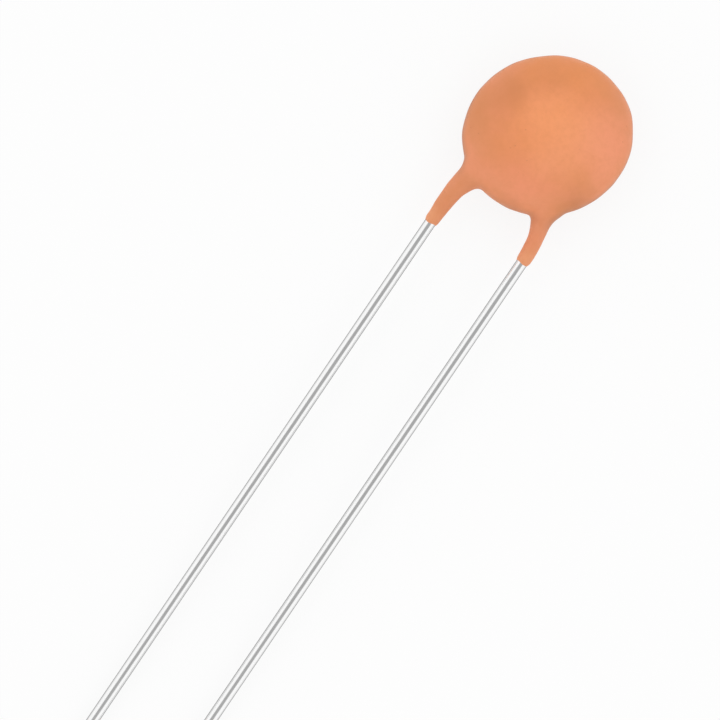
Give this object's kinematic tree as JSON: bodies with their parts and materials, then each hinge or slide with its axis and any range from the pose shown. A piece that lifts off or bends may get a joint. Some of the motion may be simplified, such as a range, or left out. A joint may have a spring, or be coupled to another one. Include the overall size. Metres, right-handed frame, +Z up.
{
  "type": "ceramic disc capacitor",
  "caption": "Small disc capacitor: a round ceramic element dipped in orange resin, with straight parallel tinned wire leads for a circuit board.",
  "frame": {"origin": "centre of the bounding box, on the surface that the part lies on", "axes": "+Y along the leads from their cut ends towards the disc, +X from the left lead to the right lead, +Z up out of the front face"},
  "size_m": [0.0082, 0.0437, 0.0032],
  "materials": {
    "dipped_resin": "satin dipped resin, slightly mottled",
    "dielectric_ceramic": "sintered, unglazed",
    "fired_silver": "matt fired silver",
    "tinned_wire": "bright drawn tin",
    "solder": "dull solder"
  },
  "bodies": {
    "root": {"resin_coating": "dipped_resin", "ceramic_disc": "dielectric_ceramic", "electrode_front": "fired_silver", "electrode_back": "fired_silver", "lead_left": "tinned_wire", "lead_right": "tinned_wire", "solder_front": "solder", "solder_back": "solder"}
  },
  "joints": []
}
